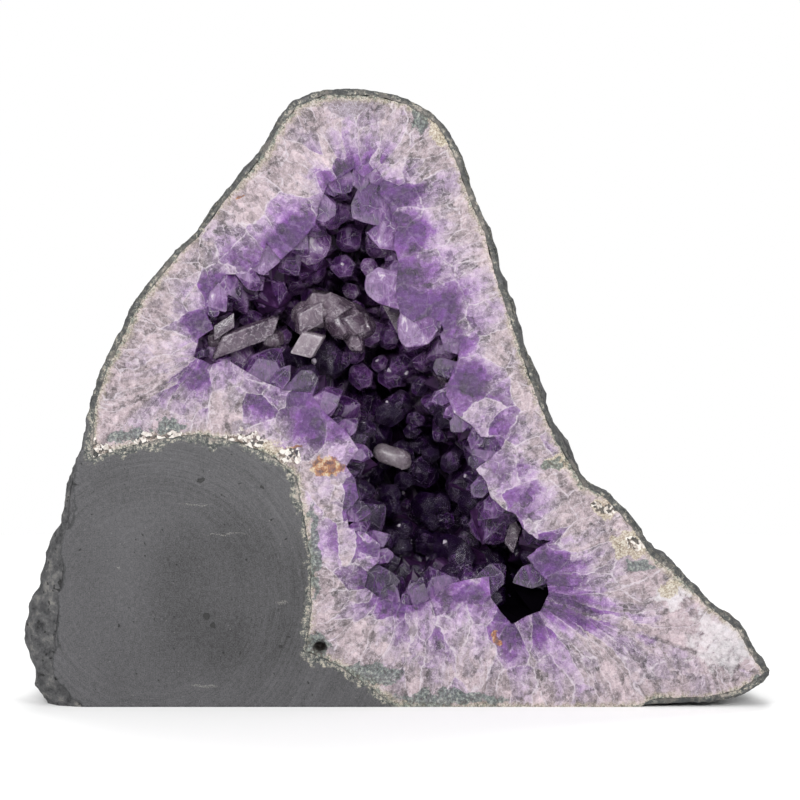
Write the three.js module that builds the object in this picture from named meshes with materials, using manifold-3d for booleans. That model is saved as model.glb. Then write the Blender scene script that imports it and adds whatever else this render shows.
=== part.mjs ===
// An amethyst geode, sawn open and polished on the front and sawn flat underneath so that it stands.
// The host rock is basalt. It holds a band of pale quartz, the band is lined with a druse of amethyst
// points round an open cavity, and calcite crystals sit on the druse.
// Millimetres, +Z up, the polished face looks along -Y.
import * as THREE from "three";
import { mergeVertices } from "three/addons/utils/BufferGeometryUtils.js";
import Module from "manifold-3d";

// ---- Driving dimensions ----
const FACE_Y = -70; // plane of the polished face
const HEART = new THREE.Vector2(-20, 150); // x, z that every layer closes in on towards the back
const ROCK_DEPTH = 140; // polished face to the back of the rock, low down
const QUARTZ_DEPTH = 112; // the same, to the back of the quartz band
const CAVITY_DEPTH = 84; // the same, to the back wall of the cavity
const TOP_TAPER = 0.42; // share of its depth that the geode loses at the top
const TAPER_FROM_Z = 85;
const TAPER_TO_Z = 245;
const GAP = 0.3; // clearance between touching pieces
const RIND = 1.7; // dark weathered rind round the quartz on the polished face
const EDGE_WEAR = 0.6; // how far the edge of the polished face is worn back from the widest part
const DRUSE_FLOOR = 3; // thickness of the crust that the amethyst points grow from
const UNDERCUT = 4.5; // how far the cavity widens just behind the polished face
const UNDERCUT_DEPTH = 8;
const PRISM_SIDES = 6;
const PAVING_ROUND = 54; // corners of the druse's lattice round the cavity, a multiple of three
const PAVING_ROWS = 10; // rows of the lattice from the face to the back
const PAVING_HEIGHT = 10; // how far the points that pave the wall stand out of the crust

// ---- Outlines, x and z ----
// The rock from the front, clockwise from the lower left. It runs on below the base, where the saw cut it.
const ROCK_OUTLINE = [
  [-141, 0], [-148, 8], [-149.5, 30], [-145, 50], [-137, 72], [-131, 92], [-126.5, 104],
  [-123, 120], [-118, 136], [-110, 152], [-104, 164], [-90, 181], [-80, 191], [-68, 207],
  [-54, 224], [-49, 233], [-41, 242.5], [-28, 247.5], [-8, 247], [6, 243], [18, 235],
  [25, 223], [31, 206], [37.5, 191], [42.5, 172], [50, 150], [58, 126], [66, 108], [77, 90],
  [85, 86], [95, 75], [104, 62], [113, 56], [126, 42.5], [138, 33], [146, 19], [150, 13],
  [138, 4.5], [125, 1.7], [102, 0.6], [86, -3], [64, -24], [20, -40], [-30, -44], [-90, -36], [-130, -16],
];
// Where the quartz meets the block of basalt at the lower left, from the right to the left of it.
// Elsewhere the quartz runs a rind's thickness inside the rock. It passes below the base where the
// saw has cut the rind away.
const BASALT_EDGE = [
  [88, -8], [50, -12], [12, -10], [-6, 4.5], [-22, 16], [-36, 22.5], [-34, 38], [-34, 56], [-37, 76],
  [-40, 92], [-50, 100.5], [-64, 106], [-80, 109], [-97, 106.5], [-112, 102.5], [-121.5, 99.5],
];
const RIND_FROM = 7; // first and last points of the rock's outline that the quartz follows
const RIND_TO = 40;
// The ragged edge of the cavity on the polished face: sawn crystal points, so its corners stay sharp.
const CAVITY_OUTLINE = [
  [-21, 212.5], [-17, 216], [-13, 212], [-8, 215.5], [-5, 212], [-6.5, 206], [-3, 200], [1, 193],
  [-1, 186], [1, 178], [0, 167], [1.5, 158], [7, 154], [13, 156.5], [18, 154], [20, 148], [25.5, 147],
  [25, 139], [21.5, 131], [20, 125], [23.5, 117.5], [30, 113], [34, 108], [39.5, 108], [42, 103.5],
  [37.5, 99], [32, 95], [36, 90.5], [38, 84], [43, 79.5], [48, 77], [51, 71.5], [57, 67], [62, 66.5],
  [57, 63.5], [52.5, 60], [56, 55], [60.5, 51], [61, 45], [58, 38.5], [52.5, 36.5], [46.5, 33],
  [42, 38], [38, 43.5], [37, 52], [29, 51], [20, 48.5], [14, 42.5], [6, 40.5], [-2, 42], [-7, 44],
  [-12.5, 48], [-11.5, 54], [-6.5, 58.5], [-6.5, 65], [-12, 69.5], [-19, 71.5], [-19.5, 78],
  [-15, 83.5], [-16.5, 91], [-20, 96.5], [-15, 103], [-20, 110.5], [-26.5, 115.5], [-31, 121],
  [-34, 125.5], [-44, 126.5], [-52, 129.5], [-58, 133], [-68, 139], [-74, 137], [-81, 140],
  [-79, 147.5], [-73, 151.5], [-76, 157.5], [-74.5, 166], [-68, 173], [-60, 173.5], [-54.5, 177.5],
  [-52, 186], [-46, 179], [-38, 186.5], [-32.5, 193], [-30.5, 202], [-27, 209.5],
];

// ---- Amethyst points that stand out of the druse: where the tip is, how far it is behind the face,
// which way it points (x, y, z), and its radius and length ----
const LARGE_POINTS = [
  { tip: [-17, 195], behind: 21, way: [0.1, -1, -0.25], radius: 7.5, length: 20 },
  { tip: [-6, 192], behind: 26, way: [-0.35, -1, -0.1], radius: 7, length: 20 },
  { tip: [-33, 175], behind: 15, way: [0.25, -1, -0.35], radius: 8, length: 20 },
  { tip: [-66, 165], behind: 5, way: [0.45, -0.9, -0.3], radius: 8, length: 18 },
  { tip: [-48, 160], behind: 11, way: [0.3, -1, -0.45], radius: 8.5, length: 20 },
  { tip: [-43, 184], behind: 3, way: [0.55, -0.55, -0.8], radius: 7, length: 18 },
  { tip: [-27, 133], behind: 20, way: [0.1, -0.9, -0.6], radius: 9, length: 24 },
  { tip: [6, 146], behind: 24, way: [-0.3, -1, -0.15], radius: 11, length: 26 },
  { tip: [8, 169], behind: 9, way: [-0.8, -0.75, -0.1], radius: 7, length: 18 },
  { tip: [-12, 168], behind: 34, way: [0, -1, -0.2], radius: 9, length: 20 },
  { tip: [-14, 121], behind: 38, way: [0.05, -1, 0.05], radius: 10, length: 24 },
  { tip: [27, 103], behind: 10, way: [-0.75, -0.85, -0.15], radius: 8.5, length: 24 },
  { tip: [35, 64], behind: 12, way: [-0.35, -0.8, -0.75], radius: 10, length: 27 },
  { tip: [22, 88], behind: 26, way: [-0.6, -0.9, 0.1], radius: 8, length: 22 },
  { tip: [0, 53], behind: 10, way: [0.35, -0.6, 0.8], radius: 7.5, length: 17 },
  { tip: [13, 52], behind: 17, way: [0.1, -0.6, 0.9], radius: 8, length: 19 },
  { tip: [-52, 135], behind: 16, way: [0.3, -0.7, 0.6], radius: 7, length: 16 },
];

// ---- Calcite crystals. size is along the crystal, across it and front to back ----
const CALCITES = {
  calcite_blade: [{ at: [-62, 148.5], behind: 9, size: [31, 11, 9], tilt: 24, lean: 14, skew: 0.5 }],
  calcite_cluster: [
    { at: [-29, 157], behind: 17, size: [24, 17, 12], tilt: 50, lean: -12, skew: 0.35 },
    { at: [-38, 147], behind: 11, size: [12, 9, 9], tilt: 66, lean: 10, skew: 0.2 },
    { at: [-20, 144], behind: 16, size: [20, 7, 7], tilt: -62, lean: 8, skew: 0.5 },
    { at: [-16, 162], behind: 20, size: [15, 12, 10], tilt: 20, lean: -10, skew: 0.3 },
  ],
  calcite_spire: [{ at: [0, 157], behind: 17, size: [17, 7, 6], tilt: 118, lean: 0, skew: 0.5 }],
  calcite_wall_crystal: [{ at: [20, 134], behind: 10, size: [15, 8, 8], tilt: 70, lean: 20, skew: 0.3 }],
  calcite_corner_crystal: [{ at: [47, 66], behind: 17, size: [15, 7, 8], tilt: 72, lean: -10, skew: 0.4 }],
};
const PEBBLE = { at: [-1.5, 99.5], behind: 33, length: 17, radius: 4.3, tilt: -20 };

const wasm = await Module();
wasm.setup();

// ---- Geometry to solid and back ----
function solidOf(geometry) {
  const bare = geometry.clone();
  for (const name of Object.keys(bare.attributes)) {
    if (name !== "position") bare.deleteAttribute(name);
  }
  const merged = mergeVertices(bare, 1e-4);
  return new wasm.Manifold(
    new wasm.Mesh({
      numProp: 3,
      vertProperties: merged.attributes.position.array,
      triVerts: new Uint32Array(merged.index.array),
    }),
  );
}

function geometryOf(solid) {
  const mesh = solid.getMesh();
  const corners = new Float32Array(mesh.numVert * 3);
  for (let i = 0; i < mesh.numVert; i++) {
    corners.set(mesh.vertProperties.subarray(i * mesh.numProp, i * mesh.numProp + 3), i * 3);
  }
  const geometry = new THREE.BufferGeometry();
  geometry.setAttribute("position", new THREE.BufferAttribute(corners, 3));
  geometry.setIndex(new THREE.BufferAttribute(mesh.triVerts, 1));
  geometry.computeVertexNormals();
  return geometry;
}

// ---- Small helpers ----
const smooth = THREE.MathUtils.smoothstep;
const chance = (seed) => {
  const wave = Math.sin(seed * 127.1 + 311.7) * 43758.5453;
  return wave - Math.floor(wave);
};
// How deep the geode is above a point of its front, as a share of the full depth.
const taper = (z) => 1 - TOP_TAPER * smooth(z, TAPER_FROM_Z, TAPER_TO_Z);
// Broad lumps of the weathered rock, from -1 to 1.
const lumps = (x, y, z) =>
  0.5 * Math.sin(x * 0.051 + y * 0.037 + 1.3) * Math.sin(z * 0.043 - y * 0.029) +
  0.3 * Math.sin(x * 0.097 - z * 0.083 + y * 0.071) +
  0.2 * Math.sin(z * 0.15 + x * 0.13 + y * 0.11);

function closedLine(points) {
  const places = points.map(({ x, y }) => new THREE.Vector3(x, 0, y));
  return new THREE.CatmullRomCurve3(places, true, "centripetal");
}

// The outline itself, with a point of a smooth curve added half way along each of its sides.
function roundOutline(points) {
  const line = closedLine(points.map(([x, z]) => new THREE.Vector2(x, z)));
  return line.getPoints(2 * points.length).slice(0, -1).map((p) => new THREE.Vector2(p.x, p.z));
}

// Each point moved out of a clockwise outline by a distance, which can differ from point to point.
function grown(outline, distance) {
  const count = outline.length;
  return outline.map((point, i) => {
    const along = outline[(i + 1) % count].clone().sub(outline[(i + count - 1) % count]).normalize();
    const out = new THREE.Vector2(-along.y, along.x);
    return point.clone().addScaledVector(out, typeof distance === "number" ? distance : distance(point));
  });
}

function softened(outline, rounds) {
  let current = outline;
  for (let round = 0; round < rounds; round++) {
    const count = current.length;
    current = current.map((point, i) => {
      const sides = current[(i + 1) % count].clone().add(current[(i + count - 1) % count]);
      return point.clone().multiplyScalar(2).add(sides).divideScalar(4);
    });
  }
  return current;
}

// One ring of a layer: the outline drawn in towards the heart line, at a depth behind the face.
function ring(outline, share, depth, lumpiness = 0) {
  return outline.map((point) => {
    const flat = point.clone().sub(HEART).multiplyScalar(share);
    flat.multiplyScalar(1 + lumpiness * lumps(flat.x, depth, flat.y)).add(HEART);
    return new THREE.Vector3(flat.x, FACE_Y + depth * taper(flat.y), flat.y);
  });
}

function middleOf(points) {
  const sum = new THREE.Vector3();
  points.forEach((point) => sum.add(point));
  return sum.divideScalar(points.length);
}

// A closed skin through clockwise rings of equal count, from front to back, each end closed on its middle.
// The inset draws the whole skin inwards, square to itself, to keep it clear of its neighbour.
function loft(rings, inset = 0) {
  const count = rings[0].length;
  const front = rings.length * count;
  const lastRing = front - count;
  const index = [];
  for (let i = 0; i < count; i++) {
    const next = (i + 1) % count;
    for (let start = 0; start < lastRing; start += count) {
      const [a, b] = [start + i, start + next];
      index.push(a, b, a + count, b, b + count, a + count);
    }
    index.push(front, next, i, front + 1, lastRing + i, lastRing + next);
  }
  const skin = new THREE.BufferGeometry();
  skin.setFromPoints([...rings.flat(), middleOf(rings[0]), middleOf(rings.at(-1))]);
  skin.setIndex(index);
  skin.computeVertexNormals();
  const { position, normal } = skin.attributes;
  const corner = new THREE.Vector3();
  const outward = new THREE.Vector3();
  for (let i = 0; i < position.count; i++) {
    outward.fromBufferAttribute(normal, i);
    corner.fromBufferAttribute(position, i).addScaledVector(outward, -inset);
    position.setXYZ(i, ...corner);
  }
  return solidOf(skin);
}

function placedSolid(geometry, matrix) {
  return solidOf(geometry.clone().applyMatrix4(matrix));
}

// Everything behind the polished face and above the sawn base.
function sawnSpace() {
  const size = 600;
  const box = new THREE.BoxGeometry(size, size, size);
  return placedSolid(box, new THREE.Matrix4().makeTranslation(0, FACE_Y + size / 2, size / 2));
}

// ---- The layers ----
function rockBody() {
  // low on the left, the rough side of the rock swells out behind the edge of the polished face
  const setBack = (p) => -(EDGE_WEAR + 13 * (p.x < -100 ? 1 - smooth(p.y, 35, 100) : 0));
  const outline = roundOutline(ROCK_OUTLINE);
  const face = grown(outline, setBack);
  const stations = [[0.99, 0.18], [0.95, 0.4], [0.86, 0.6], [0.7, 0.8], [0.42, 0.95], [0.04, 1]];
  return loft([
    ring(face, 1, -4),
    ring(face, 1, 0.3),
    ring(softened(face, 1).map((p, i) => p.lerp(outline[i], 0.65)), 1, ROCK_DEPTH * 0.025),
    ring(outline, 1, ROCK_DEPTH * 0.07),
    ...stations.map(([share, depth]) => {
      const lumpiness = Math.min(0.6 * (1 - share), 0.045);
      return ring(outline, share, ROCK_DEPTH * depth, lumpiness);
    }),
  ]);
}

function quartzPocket(inset) {
  const rind = grown(roundOutline(ROCK_OUTLINE), -RIND - EDGE_WEAR).filter((p, i) => i % 2 === 0);
  const upper = rind.slice(RIND_FROM, RIND_TO);
  const outline = [...upper, ...BASALT_EDGE.map(([x, z]) => new THREE.Vector2(x, z))];
  const stations = [[0.97, 0.2], [0.88, 0.5], [0.68, 0.78], [0.36, 0.95], [0.04, 1]];
  return loft(
    [
      ring(outline, 1, -4),
      ring(outline, 1, 1),
      ...stations.map(([share, depth]) => ring(outline, share - inset / 200, QUARTZ_DEPTH * depth)),
    ],
    inset,
  );
}

const cavityFace = CAVITY_OUTLINE.map(([x, z]) => new THREE.Vector2(x, z));
const cavityWall = grown(softened(cavityFace, 3), UNDERCUT);
const wallLine = closedLine(cavityWall);
const CAVITY_STATIONS = [[0.93, 0.38], [0.76, 0.68], [0.45, 0.92], [0.06, 1]];

function cavitySpace(inset) {
  return loft(
    [
      ring(cavityFace, 1, -4),
      ring(cavityFace, 1, 0.6),
      ring(cavityWall, 1, UNDERCUT_DEPTH),
      ...CAVITY_STATIONS.map(([share, depth]) => ring(cavityWall, share, CAVITY_DEPTH * depth)),
    ],
    inset,
  );
}

// A place on the cavity wall: round is 0 to 1 round the outline, depth 0 to 1 from the undercut to the back.
function wallPlace(round, depth) {
  const stations = [[1, UNDERCUT_DEPTH / CAVITY_DEPTH], ...CAVITY_STATIONS];
  const at = depth * (stations.length - 1);
  const k = Math.min(Math.floor(at), stations.length - 2);
  const share = THREE.MathUtils.lerp(stations[k][0], stations[k + 1][0], at - k);
  const back = THREE.MathUtils.lerp(stations[k][1], stations[k + 1][1], at - k) * CAVITY_DEPTH;
  const { x, z } = wallLine.getPointAt(THREE.MathUtils.euclideanModulo(round, 1));
  return ring([new THREE.Vector2(x, z)], share, back)[0];
}

// Which way the open side of the wall lies at a place on it.
function wallInward(round, depth) {
  const alongRound = wallPlace(round + 0.01, depth).sub(wallPlace(round - 0.01, depth));
  const deeper = wallPlace(round, Math.min(depth + 0.05, 1));
  const alongDepth = deeper.sub(wallPlace(round, Math.max(depth - 0.05, 0)));
  return alongDepth.cross(alongRound).normalize();
}

// ---- Crystals ----
// An amethyst point along +Z with its tip at the origin: a six-sided prism under a steep pyramid.
function amethystPoint(radius, length) {
  const profile = [[0, -length], [radius, -length], [radius, -radius * 1.3], [0, 0]];
  const points = profile.map(([x, y]) => new THREE.Vector2(x, y));
  return new THREE.LatheGeometry(points, PRISM_SIDES).rotateX(Math.PI / 2);
}

function pointAt(tip, way, radius, length, twist) {
  const turn = new THREE.Quaternion().setFromUnitVectors(new THREE.Vector3(0, 0, 1), way.clone().normalize());
  turn.multiply(new THREE.Quaternion().setFromAxisAngle(new THREE.Vector3(0, 0, 1), twist));
  const matrix = new THREE.Matrix4().compose(tip, turn, new THREE.Vector3(1, 1, 1));
  return placedSolid(amethystPoint(radius, length), matrix);
}

function largePoints() {
  return LARGE_POINTS.map(({ tip, behind, way, radius, length }, i) =>
    pointAt(new THREE.Vector3(tip[0], FACE_Y + behind, tip[1]), new THREE.Vector3(...way), radius, length, i),
  );
}

// The open space inside the druse. Its wall is a lattice of triangles in which every third corner
// stands up as the tip of a six-sided point and the corners between lie on the crust.
function pavedHollow() {
  const rows = [];
  for (let row = 0; row <= PAVING_ROWS; row++) {
    const depth = row / PAVING_ROWS;
    const points = [];
    for (let k = 0; k < PAVING_ROUND; k++) {
      const seed = row * 100 + k;
      const isTip = (k - row + 300) % 3 === 0 && row > 0 && row < PAVING_ROWS;
      const round = (k + row / 2 + 0.3 * (chance(seed) - 0.5)) / PAVING_ROUND;
      const height = isTip ? PAVING_HEIGHT * (0.75 + 0.5 * chance(seed + 7)) * (1 - 0.5 * depth) : 0;
      const lean = new THREE.Vector3(chance(seed + 17) - 0.5, -0.5, chance(seed + 27) - 0.5);
      const inward = wallInward(round, depth);
      const tip = wallPlace(round, depth).addScaledVector(inward, DRUSE_FLOOR + height);
      points.push(tip.addScaledVector(lean, height * 0.4));
    }
    rows.push(points);
  }
  const mouth = rows[0].map((point, i) => {
    const { x, z } = wallLine.getPointAt(i / PAVING_ROUND);
    return new THREE.Vector2(x, z);
  });
  const wide = grown(mouth, UNDERCUT);
  return loft([ring(wide, 1, -4), ring(wide, 1, UNDERCUT_DEPTH * 0.4), ...rows]);
}

// A calcite rhomb: a box pushed over sideways, with its ends bevelled to a roof.
function calciteRhomb({ at, behind, size, tilt, lean, skew }, swell) {
  const [length, width, thick] = size.map((s) => s / 2 + swell);
  const roof = width * 0.45;
  const outline = [
    [-length, -width * skew], [-length + roof, -width], [length, -width], [length, width * skew],
    [length - roof, width], [-length, width],
  ];
  const shape = new THREE.Shape(outline.map(([x, y]) => new THREE.Vector2(x, y)));
  const slab = new THREE.ExtrudeGeometry(shape, { depth: 2 * thick, bevelEnabled: false });
  slab.translate(0, 0, -thick);
  const matrix = new THREE.Matrix4()
    .makeTranslation(at[0], FACE_Y + behind, at[1])
    .multiply(new THREE.Matrix4().makeRotationX(Math.PI / 2))
    .multiply(new THREE.Matrix4().makeRotationZ(THREE.MathUtils.degToRad(tilt)))
    .multiply(new THREE.Matrix4().makeRotationX(THREE.MathUtils.degToRad(lean)));
  return placedSolid(slab, matrix);
}

function pebble(swell) {
  const { at, behind, length, radius, tilt } = PEBBLE;
  const capsule = new THREE.CapsuleGeometry(radius + swell, length - 2 * radius, 3, 10);
  const matrix = new THREE.Matrix4()
    .makeTranslation(at[0], FACE_Y + behind, at[1])
    .multiply(new THREE.Matrix4().makeRotationY(-THREE.MathUtils.degToRad(tilt)))
    .multiply(new THREE.Matrix4().makeRotationZ(Math.PI / 2));
  return placedSolid(capsule, matrix);
}

// ---- The pieces ----
const sawn = sawnSpace();
const rock = rockBody().intersect(sawn).subtract(quartzPocket(0));
const quartz = quartzPocket(GAP).intersect(sawn).subtract(cavitySpace(0));

const calcite = (swell) => ({
  ...Object.fromEntries(
    Object.entries(CALCITES).map(([name, rhombs]) => [
      name,
      rhombs.map((rhomb) => calciteRhomb(rhomb, swell)).reduce((a, b) => a.add(b)),
    ]),
  ),
  calcite_pebble: pebble(swell),
});

function druseSolid() {
  const room = cavitySpace(GAP).intersect(sawn);
  let druse = room.subtract(pavedHollow());
  for (const point of largePoints()) druse = druse.add(point.intersect(room));
  for (const socket of Object.values(calcite(GAP))) druse = druse.subtract(socket);
  return druse.decompose().reduce((a, b) => (a.volume() > b.volume() ? a : b));
}

// ---- Finishes ----
const FINISHES = {
  basalt: { color: 0x56565a, roughness: 0.6, metalness: 0 },
  quartz: { color: 0xc7b9cb, roughness: 0.2, metalness: 0 },
  amethyst: { color: 0x5a3680, roughness: 0.1, metalness: 0 },
  calcite: { color: 0xa79fa8, roughness: 0.3, metalness: 0 },
};

const geode = new THREE.Group();
function addPiece(name, solid, finish) {
  const mesh = new THREE.Mesh(geometryOf(solid), new THREE.MeshStandardMaterial(FINISHES[finish]));
  mesh.name = name;
  geode.add(mesh);
}

addPiece("basalt_host_rock", rock, "basalt");
addPiece("quartz_band", quartz, "quartz");
addPiece("amethyst_druse", druseSolid(), "amethyst");
for (const [name, solid] of Object.entries(calcite(0))) addPiece(name, solid, "calcite");

// The part's origin is the middle of its box, on the base.
const box = new THREE.Box3().setFromObject(geode);
const middle = box.getCenter(new THREE.Vector3());
geode.position.set(-middle.x, -middle.y, -box.min.z);

export default geode;
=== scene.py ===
import math
import random

import bmesh
import bpy
import numpy as np
from mathutils import Matrix, Vector, noise
from mathutils.bvhtree import BVHTree
from mathutils.geometry import delaunay_2d_cdt


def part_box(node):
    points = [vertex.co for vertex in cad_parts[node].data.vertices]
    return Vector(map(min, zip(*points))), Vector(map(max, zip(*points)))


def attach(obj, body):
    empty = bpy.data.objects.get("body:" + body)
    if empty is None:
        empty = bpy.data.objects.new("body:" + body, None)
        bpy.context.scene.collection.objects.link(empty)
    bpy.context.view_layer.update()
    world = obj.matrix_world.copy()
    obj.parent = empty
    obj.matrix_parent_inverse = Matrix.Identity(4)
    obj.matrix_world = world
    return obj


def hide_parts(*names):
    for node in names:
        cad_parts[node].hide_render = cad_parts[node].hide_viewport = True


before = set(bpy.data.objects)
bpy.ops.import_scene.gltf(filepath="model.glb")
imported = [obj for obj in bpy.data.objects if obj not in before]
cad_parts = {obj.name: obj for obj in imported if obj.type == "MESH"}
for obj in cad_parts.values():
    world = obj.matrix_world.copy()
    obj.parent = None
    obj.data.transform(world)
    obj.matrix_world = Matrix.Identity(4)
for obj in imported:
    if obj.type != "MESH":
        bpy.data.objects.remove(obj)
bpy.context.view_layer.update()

mm = 0.001
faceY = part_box("basalt_host_rock")[0].y  # plane of the polished face


def deselectAll():
    if bpy.context.mode != "OBJECT":
        bpy.ops.object.mode_set(mode="OBJECT")
    bpy.ops.object.select_all(action="DESELECT")


def makeActive(piece):
    deselectAll()
    piece.select_set(True)
    bpy.context.view_layer.objects.active = piece


def startEditing(piece, select="SELECT"):
    makeActive(piece)
    bpy.ops.object.mode_set(mode="EDIT")
    bpy.ops.mesh.select_all(action=select)


def stopEditing():
    bpy.ops.object.mode_set(mode="OBJECT")


def freeze(piece):
    makeActive(piece)
    bpy.ops.object.transform_apply(location=True, rotation=True, scale=True)
    return piece


def joinAll(parts, name):
    deselectAll()
    for part in parts:
        part.select_set(True)
    bpy.context.view_layer.objects.active = parts[0]
    bpy.ops.object.join()
    joined = bpy.context.view_layer.objects.active
    joined.name = name
    return joined


def copyOfNode(node, name):
    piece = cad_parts[node].copy()
    piece.data = piece.data.copy()
    piece.name = name
    piece.parent = None
    for key in list(piece.keys()):
        del piece[key]
    bpy.context.scene.collection.objects.link(piece)
    startEditing(piece)
    bpy.ops.mesh.remove_doubles(threshold=0.00002)
    stopEditing()
    return piece


def applyModifier(piece, kind, **settings):
    makeActive(piece)
    modifier = piece.modifiers.new(kind.lower(), kind)
    for name, value in settings.items():
        setattr(modifier, name, value)
    bpy.ops.object.modifier_apply(modifier=modifier.name)


def cloudTexture(name, size, depth=3):
    texture = bpy.data.textures.new(name, "CLOUDS")
    texture.noise_scale = size
    texture.noise_depth = depth
    return texture


def dress(piece, material, slot, *nodes):
    piece.data.materials.clear()
    piece.data.materials.append(material)
    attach(piece, "root")
    if nodes:
        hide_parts(*nodes)


class Num:
    def __init__(self, paint, socket):
        self.paint = paint
        self.socket = socket

    def calc(self, operation, *others):
        return self.paint.add("ShaderNodeMath", {"operation": operation}, [self, *others])

    def __add__(self, other):
        return self.calc("ADD", other)

    def __radd__(self, other):
        return self.calc("ADD", other)

    def __sub__(self, other):
        return self.calc("SUBTRACT", other)

    def __rsub__(self, other):
        return self.paint.add("ShaderNodeMath", {"operation": "SUBTRACT"}, [other, self])

    def __mul__(self, other):
        return self.calc("MULTIPLY", other)

    def __rmul__(self, other):
        return self.calc("MULTIPLY", other)

    def power(self, other):
        return self.calc("POWER", other)

    def atLeast(self, other):
        return self.calc("MAXIMUM", other)

    def atMost(self, other):
        return self.calc("MINIMUM", other)

    def step(self, low, high):  # 0 below low, 1 above high, smooth between
        settings = {"interpolation_type": "SMOOTHSTEP"}
        values = {"Value": self, "From Min": low, "From Max": high}
        return self.paint.add("ShaderNodeMapRange", settings, values)


class Paint:
    def __init__(self, name):
        self.material = bpy.data.materials.new(name)
        self.material.use_nodes = True
        self.tree = self.material.node_tree
        self.tree.nodes.clear()
        self.output = self.tree.nodes.new("ShaderNodeOutputMaterial")

    def add(self, kind, settings=None, values=None, output=0):
        node = self.tree.nodes.new(kind)
        for key, setting in (settings or {}).items():
            if key == "stops":
                self.setStops(node.color_ramp, setting)
            else:
                setattr(node, key, setting)
        pairs = values.items() if isinstance(values, dict) else enumerate(values or [])
        for key, value in pairs:
            socket = node.inputs[key]
            if isinstance(value, Num):
                self.tree.links.new(value.socket, socket)
            elif socket.type == "RGBA" and len(value) == 3:
                socket.default_value = (*value, 1)
            else:
                socket.default_value = value
        self.node = node
        return Num(self, node.outputs[output])

    def setStops(self, ramp, stops):
        while len(ramp.elements) < len(stops):
            ramp.elements.new(1)
        for element, (place, colour) in zip(ramp.elements, stops):
            element.position = place
            element.color = (*colour, 1)

    def ramp(self, factor, *stops):
        return self.add("ShaderNodeValToRGB", {"stops": stops}, [factor])

    def mix(self, factor, first, second, blend="MIX"):
        settings = {"data_type": "RGBA", "blend_type": blend}
        return self.add("ShaderNodeMix", settings, {0: factor, 6: first, 7: second}, 2)

    def grey(self, value):
        return self.add("ShaderNodeCombineColor", None, [value, value, value])

    def noise(self, place, scale, detail=2.0, roughness=0.5, distortion=0.0):
        values = {
            "Vector": place,
            "Scale": scale,
            "Detail": detail,
            "Roughness": roughness,
            "Distortion": distortion,
        }
        return self.add("ShaderNodeTexNoise", None, values)

    def noiseVector(self, place, scale, detail=2.0):
        values = {"Vector": place, "Scale": scale, "Detail": detail}
        return self.add("ShaderNodeTexNoise", None, values, 1)

    def cells(self, place, scale, feature="F1", output=0):
        values = {"Vector": place, "Scale": scale}
        return self.add("ShaderNodeTexVoronoi", {"feature": feature}, values, output)

    def vector(self, operation, *values, output=0):
        return self.add("ShaderNodeVectorMath", {"operation": operation}, list(values), output)

    def stretched(self, place, factors):
        return self.vector("MULTIPLY", place, factors)

    def split(self, place):
        self.add("ShaderNodeSeparateXYZ", None, [place])
        return [Num(self, socket) for socket in self.node.outputs]

    def attribute(self, name):
        return self.add("ShaderNodeAttribute", {"attribute_name": name}, None, 1)

    def place(self):  # object coordinates in millimetres
        return self.stretched(self.add("ShaderNodeTexCoord", None, None, 3), (1000, 1000, 1000))

    def patch(self, place, spot):  # 1 inside a flat oval on the face, fading out at its edge
        x, z, wide, high = spot
        flat = self.stretched(self.vector("SUBTRACT", place, (x, 0, z)), (1 / wide, 0, 1 / high))
        return 1 - self.vector("LENGTH", flat, output=1).step(0.55, 1.15)

    def patches(self, place, spots):
        total = self.patch(place, spots[0])
        for spot in spots[1:]:
            total = total.atLeast(self.patch(place, spot))
        return total

    def frayed(self, place, amount):  # shifted by noise, so that what is drawn on it has torn edges
        shift = self.vector("SUBTRACT", self.noiseVector(place, 0.22, 4), (0.5, 0.5, 0.5))
        return self.vector("ADD", place, self.stretched(shift, (amount, amount, amount)))

    def bump(self, height, distance, strength=1.0):
        values = {"Height": height, "Distance": distance, "Strength": strength}
        return self.add("ShaderNodeBump", None, values)

    def finish(self, **sockets):
        values = {name.replace("_", " "): value for name, value in sockets.items()}
        shader = self.add("ShaderNodeBsdfPrincipled", None, values)
        self.tree.links.new(shader.socket, self.output.inputs["Surface"])
        return self.material


faceWork = {
    "grain": 1.3 * mm,  # spacing of the points on the polished face
    "rimStep": 1.2 * mm,  # spacing along its edges
    "wander": 0.5 * mm,  # how ragged the edges between the minerals are
    "chips": 0.7 * mm,  # how ragged the outermost edge is
    "breaks": 3.4 * mm,  # and the broken edge of the bare basalt
    "gridStep": 1.25,  # mm, for the growth lines
    "growthRounds": 2500,
    "snap": 0.8 * mm,  # how far a corner moves to meet the neighbour's
    "straightBelow": 1.2 * mm,  # height up to which the edges stay as they are, at the base
    "wanderWaves": (420, 1100),  # waves per metre of each ragged edge, coarse and fine
    "chipWaves": (170, 380),
    "breakWaves": (60, 150),
    "walkSteps": 130,  # back to the rock along a growth line
    "walkStep": 0.65,  # mm
    "mostCrowded": 12,
    "seed": 8,  # of the ragged edges
}
noise.seed_set(faceWork["seed"])  # or the noise would start by the clock


def isOnFace(point):
    return abs(point.y - faceY) < 0.05 * mm


def isFaceTriangle(face):
    return face.normal.y < -0.99 and all(isOnFace(vert.co) for vert in face.verts)


def edgePlace(edge):
    return tuple(edge.verts[0].co + edge.verts[1].co)


def faceLoops(mesh):  # the closed edges of the polished face, each as a list of points
    left = set()
    for edge in mesh.edges:
        if len(edge.link_faces) == 2 and sum(isFaceTriangle(face) for face in edge.link_faces) == 1:
            left.add(edge)
    loops = []
    while left:
        start = min(left, key=edgePlace)  # the same one each run
        left.discard(start)
        loop = sorted(start.verts, key=lambda vert: tuple(vert.co))
        while True:
            following = [edge for edge in loop[-1].link_edges if edge in left]
            if not following:
                break
            left.discard(following[0])
            loop.append(following[0].other_vert(loop[-1]))
        if loop[0] == loop[-1]:
            loop.pop()
        loops.append(loop)
    return loops


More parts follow.
